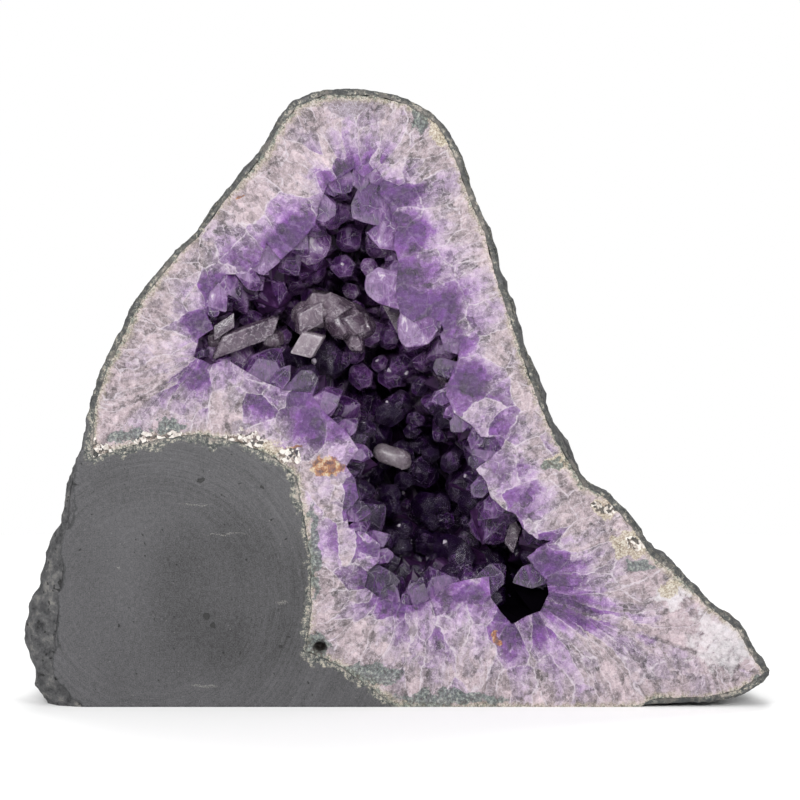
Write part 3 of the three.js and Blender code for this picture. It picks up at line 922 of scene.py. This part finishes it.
def shapePoint(seed, worn):  # one six-sided crystal, 1 from middle to corner, its tip at the origin
    chance = random.Random(seed)
    deselectAll()
    bpy.ops.mesh.primitive_cylinder_add(vertices=6, radius=1, depth=5, location=(0, 0, -1.5))
    shape = freeze(bpy.context.object)
    shape.name = f"point_shape_{seed}"
    startEditing(shape)
    for side in range(6):
        turn = math.radians(60 * side + 30)
        tilt = math.radians(chance.uniform(49, 54))
        way = (math.cos(turn) * math.sin(tilt), math.sin(turn) * math.sin(tilt), math.cos(tilt))
        top = -chance.uniform(0.0, 0.1) if side % 2 == 0 else chance.uniform(-0.02, 0.32)
        bpy.ops.mesh.select_all(action="SELECT")
        bpy.ops.mesh.bisect(plane_co=(0, 0, top), plane_no=way, use_fill=True, clear_outer=True)
    bpy.ops.mesh.select_all(action="SELECT")
    bpy.ops.mesh.remove_doubles(threshold=0.02)
    if worn:
        bpy.ops.mesh.bevel(offset=pointWork["bevel"], segments=1, affect="EDGES")
    bpy.ops.mesh.select_all(action="SELECT")
    bpy.ops.mesh.normals_make_consistent(inside=False)
    stopEditing()
    markMiddles(shape)
    return shape


def markMiddles(shape):  # a point in each broad face, so that the finish can tell edges from middles
    corners = len(shape.data.vertices)
    areas = [face.area for face in shape.data.polygons]
    broad = [face.index for face in shape.data.polygons if face.area > 0.12 * max(areas)]
    selectOnly(shape, faces=broad)
    bpy.ops.object.mode_set(mode="EDIT")
    bpy.ops.mesh.poke(offset=pointWork["bulge"])
    stopEditing()
    shape["corners"] = corners
    bpy.ops.object.shade_smooth_by_angle(angle=math.radians(34))


print("amethyst points")
pointShapes = [shapePoint(seed, True) for seed in range(pointWork["variants"])]
plainShapes = [shapePoint(seed, False) for seed in range(pointWork["variants"])]
print("point shapes have", [len(shape.data.polygons) for shape in pointShapes + plainShapes], "faces")


def placePoint(tip, way, radius, length, chance, tone):  # millimetres; tip is where its tip stands
    copy = chance.choice(plainShapes if radius < pointWork["simpleBelow"] else pointShapes).copy()
    copy.data = copy.data.copy()
    bpy.context.scene.collection.objects.link(copy)
    tall = max(length / radius, 1.2)
    for vert in copy.data.vertices:
        if vert.co.z < -1.6:
            vert.co.z = -tall
    fromTip = np.array([-vert.co.z / tall for vert in copy.data.vertices])
    turn = Vector(way).normalized().to_track_quat("Z", "Y").to_matrix().to_4x4()
    spin = Matrix.Rotation(chance.uniform(0, math.tau), 4, "Z")
    size = Matrix.Diagonal((radius, radius * chance.uniform(0.76, 1.0), radius, 1))
    copy.data.transform(Matrix.Scale(mm, 4) @ Matrix.Translation(tip) @ turn @ spin @ size)
    nearEdge = np.arange(len(fromTip)) < copy["corners"]
    inside = min(max((tip[1] - faceY / mm) / 5, 0), 1)
    # painted shade: crystals behind the face in these regions are given a darker tone
    for x, z, wide, high in pointWork["dark"]:
        away = math.hypot((tip[0] - x) / wide, (tip[2] - z) / high)
        tone += min(max(1.4 - away, 0), 0.8) * 0.7 * inside
    crystal = [np.clip(fromTip, 0, 1), np.full_like(fromTip, tone), nearEdge]
    storeVectors(copy, "crystal", np.stack(crystal, 1))
    cutAtFace(copy, chance.uniform(*pointWork["behind"]) * mm)
    return copy


def cutAtFace(piece, behind):
    if min(vert.co.y for vert in piece.data.vertices) < faceY + behind:
        startEditing(piece)
        cut = (0, faceY + behind, 0)
        bpy.ops.mesh.bisect(plane_co=cut, plane_no=(0, -1, 0), use_fill=True, clear_outer=True)
        bpy.ops.mesh.mark_sharp()
        stopEditing()


calciteBoxes = [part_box(node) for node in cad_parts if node.startswith("calcite")]


def cavityWall():  # the band's inner wall: corners and their normals for each triangle, in millimetres
    mesh = bmesh.new()
    mesh.from_mesh(quartzBand.data)
    bmesh.ops.delete(mesh, geom=[face for face in mesh.faces if face.normal.y < -0.9], context="FACES")
    left = set(mesh.faces)
    walls = []
    while left:
        wall = {left.pop()}
        edge = list(wall)
        while edge:
            near = {face for line in edge.pop().edges for face in line.link_faces if face in left}
            left -= near
            wall |= near
            edge += near
        walls.append(wall)
    large = [wall for wall in walls if len(wall) > 50]
    inner = min(large, key=lambda wall: max(face.calc_center_median().x for face in wall))
    mesh.normal_update()
    mesh.faces.index_update()
    triangles = []
    for face in sorted(inner, key=lambda face: face.index):  # in the same order each run
        for second, third in zip(face.verts[1:], face.verts[2:]):
            corners = (face.verts[0], second, third)
            triangles.append([(vert.co / mm, vert.normal.copy()) for vert in corners])
    mesh.free()
    return triangles


# painted light and shade: deep crystals are painted darker low in the cavity and paler high up
def depthLightAndShade(place, chance):  # deeper and lower crystals are darker
    depth = place.y - faceY / mm
    low = min(max((125 - place.z) / 60, 0), 1)
    inside = min(depth / 20, 1)
    tone = 0.6 - 0.27 * (1 - low) * inside + 0.05 * low + 0.32 * low * inside
    return tone + chance.uniform(-0.2, 0.2)


def fillsHole(root, tip, radius):
    x, z, wide = pointWork["hole"]
    spots = [tip.lerp(root, share) for share in (0, 0.35, 0.7)]
    near = [spot for spot in spots if math.hypot(spot.x - x, spot.z - z) < wide - 2 + 0.4 * radius]
    return any(spot.y < faceY / mm + 16 for spot in near)


def hidesCalcite(tip):
    for low, high in calciteBoxes:
        off = tip - (low + high) / 2 / mm
        half = (high - low) / 2 / mm
        if abs(off.x) < 0.7 * half.x and abs(off.z) < 0.7 * half.z and off.y < 0:
            return True
    return False


def pavePoints():
    chance = random.Random(11)
    triangles = cavityWall()
    areas = [(b[0] - a[0]).cross(c[0] - a[0]).length / 2 for a, b, c in triangles]
    print("cavity wall", len(triangles), "triangles", round(sum(areas) / 100), "cm2")
    taken = []
    copies = []
    for least, most, tries, wanted in pointWork["sizes"]:
        kept = 0
        for a, b, c in chance.choices(triangles, weights=areas, k=tries):
            u, v = chance.random(), chance.random()
            if u + v > 1:
                u, v = 1 - u, 1 - v
            root = a[0] + (b[0] - a[0]) * u + (c[0] - a[0]) * v
            inward = (a[1] + (b[1] - a[1]) * u + (c[1] - a[1]) * v).normalized()
            radius = chance.uniform(least, most)
            spacing = pointWork["spacing"]
            if any((root - other).length < spacing * (radius + size) for other, size in taken):
                continue
            taken.append((root, radius))
            lean = Vector([chance.uniform(-1, 1) for _ in range(3)]) * pointWork["lean"]
            way = (inward + lean + Vector((0, -0.25, 0))).normalized()
            stand = radius * chance.uniform(1.1, 1.9) + 3.2
            tip = root + way * stand
            if fillsHole(root, tip, radius) or hidesCalcite(tip):
                continue
            copies.append(placePoint(tip, way, radius, stand + 4, chance, depthLightAndShade(root, chance)))
            kept += 1
            if kept >= wanted:
                break
        print("points of", least, "to", most, "mm:", kept)
    return copies


largePoints = [  # tip x, z, how far behind the face, which way it points, radius, length, tone
    (-17, 195, 21, (0.1, -1, -0.25), 8, 24, 0.3),
    (-6, 192, 26, (-0.35, -1, -0.1), 7.5, 24, 0.6),
    (-33, 175, 15, (0.25, -1, -0.35), 8.5, 24, 0.45),
    (-66, 165, 5, (0.45, -0.9, -0.3), 8.5, 20, 0.3),
    (-48, 160, 11, (0.3, -1, -0.45), 9, 24, 0.45),
    (-43, 184, 3, (0.55, -0.55, -0.8), 7.5, 20, 0.2),
    (-27, 133, 20, (0.1, -0.9, -0.6), 9.5, 28, 0.6),
    (6, 146, 24, (-0.3, -1, -0.15), 11, 30, 0.6),
    (8, 169, 9, (-0.8, -0.75, -0.1), 7.5, 20, 0.3),
    (-12, 168, 34, (0, -1, -0.2), 9, 24, 0.45),
    (-14, 121, 38, (0.05, -1, 0.05), 10, 28, 0.75),
    (27, 103, 10, (-0.75, -0.85, -0.15), 9, 26, 0.72),
    (35, 64, 12, (-0.35, -0.8, -0.75), 10.5, 30, 0.6),
    (22, 88, 26, (-0.6, -0.9, 0.1), 8.5, 26, 0.85),
    (0, 53, 10, (0.35, -0.6, 0.8), 8, 20, 0.6),
    (13, 52, 17, (0.1, -0.6, 0.9), 8.5, 22, 0.7),
    (-52, 135, 16, (0.3, -0.7, 0.6), 7.5, 20, 0.5),
]


def standLargePoints():
    chance = random.Random(3)
    copies = []
    for x, z, behind, way, radius, length, tone in largePoints:
        tip = Vector((x, faceY / mm + behind, z))
        copies.append(placePoint(tip, way, radius, length, chance, tone))
    return copies


def nestOfPoints():
    chance = random.Random(29)
    heights, depths, shadeTones = np.array(pointWork["nest"]).T
    low, high = bandInner.min(axis=0), bandInner.max(axis=0)
    spots = []
    for _ in range(pointWork["nestTries"]):
        spots.append((chance.uniform(low[0], high[0]), chance.uniform(low[1], high[1])))
    spots = np.array(spots)
    spots = spots[insideLoops(spots, [bandInner])]
    room, _ = placeOnLoop(spots, bandInner)
    taken = [(x, z, radius * 0.8) for x, z, _, _, radius, _, _ in largePoints]
    copies = []
    for (x, z), gap in zip(spots, room):
        radius = chance.uniform(*pointWork["nestRadius"])
        hole = pointWork["hole"]
        if gap < 3.5 or math.hypot(x - hole[0], z - hole[1]) < hole[2] + radius:
            continue
        spacing = pointWork["nestSpacing"]
        if any(math.hypot(x - a, z - b) < spacing * (radius + size) for a, b, size in taken):
            continue
        taken.append((x, z, radius))
        behind = min(np.interp(z, heights, depths), 3 + 1.5 * gap) + chance.uniform(-2, 2)
        for low, high in calciteBoxes:  # none stands in front of the calcite
            besideX = low.x - radius * mm < x * mm < high.x + radius * mm
            besideZ = low.z - radius * mm < z * mm < high.z + radius * mm
            if besideX and besideZ:
                behind = max(behind, (high.y - faceY) / mm)
        nearest = bandInner[np.argmin(np.hypot(*(bandInner - (x, z)).T))]
        off = np.array([x, z]) - nearest
        off = off / max(np.hypot(*off), 1) * max(0.75 - gap / 25, 0.0)
        way = (off[0] + chance.uniform(-0.3, 0.3), -1, off[1] + chance.uniform(-0.35, 0.25))
        # painted light and shade: tone darker low in the cavity, paler high up
        tone = max(np.interp(z, heights, shadeTones) + chance.uniform(-0.2, 0.2), 0.2)
        tip = Vector((x, faceY / mm + behind, z))
        length = chance.uniform(*pointWork["nestLength"])
        copies.append(placePoint(tip, way, radius, length, chance, tone))
    print("nest of points:", len(copies))
    return copies


# painted highlight: tiny near-white points that stand in for glints
def glintPoints(crystals):  # set on the faces of the larger ones
    chance = random.Random(41)
    surface = BVHTree.FromObject(crystals, bpy.context.evaluated_depsgraph_get())
    copies = []
    for x, z in pointWork["clear"]:
        start = Vector((x * mm, faceY - 10 * mm, z * mm))
        hit, normal, _, _ = surface.ray_cast(start, Vector((0, 1, 0)))
        if hit is None or hit.y < faceY + 4 * mm:
            continue
        lean = Vector((chance.uniform(-0.5, 0.5), -0.5, chance.uniform(-0.3, 0.6)))
        way = (normal + lean).normalized()
        radius = chance.uniform(0.8, 1.6)
        # painted highlight: the tone of -0.6 paints them near white
        copies.append(placePoint(hit / mm + way * radius, way, radius, 2 * radius, chance, -0.6))
    print("clear points:", len(copies))
    return copies


points = joinAll(pavePoints() + standLargePoints() + nestOfPoints(), "amethyst_points")
points = joinAll([points] + glintPoints(points), "amethyst_points")
print("amethyst points", len(points.data.polygons), "faces")


def absorb(paint, colour, density):  # what the clear crystal takes from the light, per metre
    values = {"Color": (*colour, 1), "Density": density}
    volume = paint.add("ShaderNodeVolumeAbsorption", None, values)
    paint.tree.links.new(volume.socket, paint.output.inputs["Volume"])


def amethystFinish():
    paint = Paint("amethyst")
    place = paint.place()
    fromTip, tone, nearEdge = paint.split(paint.attribute("crystal"))
    haze = paint.noise(place, 0.16, 4, 0.6)
    veil = paint.noise(paint.stretched(place, (1, 1, 0.45)), 0.45, 5, 0.75, 1.4)
    speck = paint.noise(place, 1.5, 2, 0.6)
    crack = paint.cells(paint.frayed(place, 5), 0.13, "DISTANCE_TO_EDGE", 0)
    violet = tone + 0.12 + (0.45 - fromTip) * 0.35 + (haze - 0.5) * 1.5 + (veil - 0.5) * 1.6
    # painted highlight: paler towards the edges of each face
    violet = violet - nearEdge.power(3.0) * 0.1
    colour = paint.ramp(
        violet,
        (0.0, (0.68, 0.6, 0.7)),
        (0.08, (0.44, 0.32, 0.49)),
        (0.22, (0.28, 0.15, 0.36)),
        (0.45, (0.15, 0.055, 0.215)),
        (0.7, (0.072, 0.018, 0.122)),
        (1.0, (0.014, 0.003, 0.03)),
    )
    wisps = veil.step(0.56, 0.72) * 0.5
    cracks = (1 - crack.step(0.0, 0.03)) * veil.step(0.42, 0.55) * 0.75
    # whiter along the edges as painted highlight, with the real milky wisps and cracks
    milkAndHighlights = wisps.atLeast(cracks).atLeast(nearEdge.step(0.86, 0.99) * 0.25)
    milkAndHighlights = milkAndHighlights * (1 - tone * 0.8).atLeast(0.0)
    colour = paint.mix(milkAndHighlights, colour, (0.62, 0.54, 0.64))
    inclusions = (1 - speck.step(0.3, 0.35)) * 0.75
    colour = paint.mix(inclusions, colour, (0.02, 0.008, 0.02))
    roughness = 0.05 + (haze - 0.4).atLeast(0.0) * 0.2 + milkAndHighlights * 0.4
    normal = paint.bump(haze * 0.8 + veil * 1.0, 0.001, 0.75)
    absorb(paint, (0.7, 0.42, 0.78), 30)
    return paint.finish(
        Base_Color=colour, Roughness=roughness, Normal=normal, IOR=1.544, Transmission_Weight=0.3
    )


def druseFinish():
    paint = Paint("druse_crust")
    place = paint.place()
    haze = paint.noise(place, 0.3, 4, 0.6)
    colour = paint.ramp(
        haze,
        (0.3, (0.01, 0.003, 0.016)),
        (0.6, (0.036, 0.011, 0.05)),
        (0.8, (0.09, 0.04, 0.12)),
    )
    # painted shade: within the hole the crust gives way to a near-black diffuse
    x, z, wide = pointWork["hole"]
    holeShade = paint.patch(place, (x, z, wide * 2, wide * 2)).step(0.0, 0.5)
    normal = paint.bump(haze, 0.0006, 0.3)
    values = {"Base Color": colour, "Roughness": 0.2 + haze * 0.2, "Normal": normal}
    crust = paint.add("ShaderNodeBsdfPrincipled", None, values | {"Specular IOR Level": 0.2})
    dark = paint.add("ShaderNodeBsdfDiffuse", None, {"Color": (0.0015, 0.001, 0.002)})
    both = paint.add("ShaderNodeMixShader", None, [holeShade, crust, dark])
    paint.tree.links.new(both.socket, paint.output.inputs["Surface"])
    return paint.material


calciteWork = {
    "bevel": 0.07,
    "slant": 0.32,
    # each crystal: from the middle of its node's box, size and turn, in mm and degrees, and tone
    "blocks": {
        "calcite_blade": [
            ((-3, 0, -1.5), (23, 6.5, 7.5), (14, -20, 6), 0.7),
            ((-9, -1, 3), (10, 5, 5), (0, -34, 10), 0.8),
            ((6, 1, 2.5), (12, 5, 6), (20, -14, -8), 0.7),
        ],
        "calcite_cluster": [
            ((-11, -7, -6), (9, 8, 9.5), (8, 14, -6), -0.35),
            ((-11, -4, 4), (11, 8, 8), (14, -28, 12), 0.2),
            ((-1, -1, 9), (9, 7, 9), (24, 38, -18), 0.1),
            ((8, -2, 3), (9, 7, 8), (-12, 50, 22), 0.5),
        ],
        "calcite_spire": [((0, 0, 0), (13, 5.5, 5), (10, 62, 0), 0.5)],
        "calcite_wall_crystal": [((0, 0, 0), (13, 7, 7), (12, -70, 15), 0.7)],
        "calcite_corner_crystal": [((0, 0, 0), (11, 6, 5), (-10, -72, 8), 0.7)],
    },
    # each point: from the middle of its node's box, which way, radius, length and tone
    "points": {
        "calcite_cluster": [
            ((-14, -5, 8), (-0.3, -1, 0.3), 6, 15, 0.2),
            ((-6, -7, 6), (0.0, -1, -0.2), 8, 18, 0.1),
            ((3, -7, 10), (0.1, -1, 0.35), 7.5, 16, 0.3),
            ((11, -5, 7), (0.3, -1, 0.15), 7, 16, 0.35),
            ((16, -4, 0), (0.5, -1, -0.1), 6, 16, 0.5),
            ((5, -6, -2), (0.2, -0.9, -0.5), 7, 18, 0.55),
            ((-1, -3, 15), (0.0, -0.8, 0.6), 5.5, 14, 0.3),
            ((12, -3, -9), (0.4, -0.8, -0.6), 5, 15, 0.6),
        ],
        "calcite_blade": [
            ((-14, -2, 0), (-0.5, -1, 0.1), 5, 12, 0.5),
            ((14, 0, 1), (0.4, -1, 0.4), 5, 13, 0.45),
        ],
    },
}


def blockShape():  # a slanting block with its edges worn
    deselectAll()
    bpy.ops.mesh.primitive_cube_add(size=1, location=(0, 0, 0))
    shape = bpy.context.object
    selectOnly(shape, verts=[vert.index for vert in shape.data.vertices if vert.co.z > 0])
    bpy.ops.object.mode_set(mode="EDIT")
    bpy.ops.transform.translate(value=(calciteWork["slant"], 0.08, 0))
    bpy.ops.mesh.select_all(action="SELECT")
    bpy.ops.mesh.bevel(offset=calciteWork["bevel"], segments=2, affect="EDGES")
    stopEditing()
    markMiddles(shape)
    return shape


def placeBlock(shape, middle, size, turn, tone):
    copy = shape.copy()
    copy.data = copy.data.copy()
    bpy.context.scene.collection.objects.link(copy)
    nearEdge = np.arange(len(copy.data.vertices)) < copy["corners"]
    crystal = [np.zeros(len(nearEdge)), np.full(len(nearEdge), tone), nearEdge]
    storeVectors(copy, "crystal", np.stack(crystal, 1))
    spin = Matrix.Identity(4)
    for angle, axis in zip(turn[::-1], "ZYX"):
        spin = spin @ Matrix.Rotation(math.radians(angle), 4, axis)
    place = Matrix.Scale(mm, 4) @ Matrix.Translation(middle)
    copy.data.transform(place @ spin @ Matrix.Diagonal((*size, 1)))
    return copy


def shapeCalcite(node, block):
    chance = random.Random(node)
    low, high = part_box(node)
    middle = (low + high) / 2 / mm
    crystals = []
    for offset, size, turn, tone in calciteWork["blocks"].get(node, []):
        crystals.append(placeBlock(block, middle + Vector(offset), size, turn, tone))
    for offset, way, radius, length, tone in calciteWork["points"].get(node, []):
        crystals.append(placePoint(middle + Vector(offset), way, radius, length, chance, tone))
    return joinAll(crystals, node + "_crystals")


def roundedPebble(node):
    piece = copyOfNode(node, node + "_crystals")
    applyModifier(piece, "SUBSURF", levels=2, render_levels=2)
    worn = cloudTexture("worn", 5 * mm, 2)
    applyModifier(piece, "DISPLACE", texture=worn, strength=1.6 * mm, mid_level=0.5)
    # the whitish pebble is given a paler tone than its own, as painted light where the cavity shades it
    storeVectors(piece, "crystal", np.tile((0, -0.5, 0.5), (len(piece.data.vertices), 1)))
    makeActive(piece)
    bpy.ops.object.shade_smooth()
    return piece


def calciteFinish():
    paint = Paint("calcite")
    place = paint.place()
    _, tone, nearEdge = paint.split(paint.attribute("crystal"))
    haze = paint.noise(place, 0.12, 4, 0.6)
    flake = paint.noise(paint.frayed(place, 6), 0.4, 6, 0.78, 0.6)
    crack = paint.cells(paint.frayed(place, 6), 0.2, "DISTANCE_TO_EDGE", 0)
    colour = paint.ramp(
        haze + (flake - 0.5) * 1.0 - tone * 0.35 + 0.1,
        (0.15, (0.05, 0.026, 0.055)),
        (0.4, (0.13, 0.085, 0.128)),
        (0.62, (0.22, 0.165, 0.21)),
        (0.9, (0.44, 0.38, 0.42)),
    )
    # whiter along the edges as painted highlight, and along real white cracks
    whiter = nearEdge.step(0.9, 0.99) * flake.step(0.4, 0.6) * 0.35
    whiter = whiter.atLeast((1 - crack.step(0.0, 0.04)) * flake.step(0.42, 0.56) * 0.7)
    colour = paint.mix(whiter, colour, (0.55, 0.5, 0.55))
    normal = paint.bump(haze + flake * 0.6, 0.0007, 0.35)
    roughness = 0.12 + flake * 0.25
    return paint.finish(
        Base_Color=colour, Roughness=roughness, Normal=normal, IOR=1.6, Transmission_Weight=0.4
    )


print("calcite")
block = blockShape()
calcites = {node: shapeCalcite(node, block) for node in calciteWork["blocks"]}
calcites["calcite_pebble"] = roundedPebble("calcite_pebble")
for shape in pointShapes + plainShapes + [block]:
    bpy.data.objects.remove(shape)
print("calcite", {node: len(piece.data.polygons) for node, piece in calcites.items()})

dress(quartzBand, quartzFinish(), "quartz", "quartz_band")
dress(hostRock, basaltFinish(), "basalt", "basalt_host_rock")
dress(points, amethystFinish(), "amethyst")
calcite = calciteFinish()
for node, piece in calcites.items():
    dress(piece, calcite, "calcite", node)
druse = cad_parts["amethyst_druse"]
druse.data.materials.clear()
druse.data.materials.append(druseFinish())
print("dressed")

studio = {
    "lens": 90,
    "viewWidth": 0.32,  # how much the frame takes in at the polished face
    "aim": (0.0015, 0.1228),
    "surround": 0.32,
    "floor": 1.0,  # its radius in metres
    # each light: its place, what it points at, width and height, power
    "lights": {
        "key": ((-0.8, -1.15, 0.95), (0, 0, 0.12), (0.35, 0.35), 10.5),
        "fill": ((0.95, -1.0, 0.6), (0, 0, 0.1), (0.4, 0.4), 5.5),
        "front": ((0.2, -1.7, 0.7), (0, 0, 0.12), (0.3, 0.3), 11),
        "spark": ((-0.3, -1.4, 0.75), (0, 0, 0.12), (0.14, 0.14), 3.5),
        "top": ((0.1, -0.15, 1.3), (0, 0, 0.1), (0.5, 0.5), 3.5),
        "behind": ((0, 0.95, 1.6), (0, 0.75, 0), (1.4, 0.6), 20),
    },
}


def areaLight(name, place, aim, size, power):
    light = bpy.data.lights.new(name, "AREA")
    light.shape = "RECTANGLE"
    light.size, light.size_y = size
    light.energy = power
    holder = bpy.data.objects.new(name, light)
    bpy.context.scene.collection.objects.link(holder)
    holder.location = place
    holder.rotation_euler = (Vector(aim) - Vector(place)).to_track_quat("-Z", "Y").to_euler()


def studioFloor():
    deselectAll()
    bpy.ops.mesh.primitive_circle_add(vertices=96, radius=studio["floor"], fill_type="NGON")
    floor = freeze(bpy.context.object)
    floor.name = "floor"
    paint = Paint("floor")
    floor.data.materials.append(paint.finish(Base_Color=(0.92, 0.92, 0.92), Roughness=0.95))


studioFloor()
for name, light in studio["lights"].items():
    areaLight(name, *light)
world = bpy.data.worlds.new("studio")
bpy.context.scene.world = world
world.use_nodes = True
surround = world.node_tree.nodes["Background"]
surround.inputs["Color"].default_value = (1, 1, 1, 1)
seen = world.node_tree.nodes.new("ShaderNodeLightPath")
strength = world.node_tree.nodes.new("ShaderNodeMath")  # white behind everything, but a softer light
strength.operation = "MAXIMUM"
strength.inputs[1].default_value = studio["surround"]
world.node_tree.links.new(seen.outputs["Is Camera Ray"], strength.inputs[0])
world.node_tree.links.new(strength.outputs[0], surround.inputs["Strength"])

cameraData = bpy.data.cameras.new("camera")
cameraData.lens = studio["lens"]
camera = bpy.data.objects.new("camera", cameraData)
bpy.context.scene.collection.objects.link(camera)
away = studio["viewWidth"] / 2 / (cameraData.sensor_width / 2 / cameraData.lens)
camera.location = (studio["aim"][0], faceY - away, studio["aim"][1])
camera.rotation_euler = (math.radians(90), 0, 0)
bpy.context.scene.camera = camera
bpy.context.scene.view_settings.view_transform = "Standard"
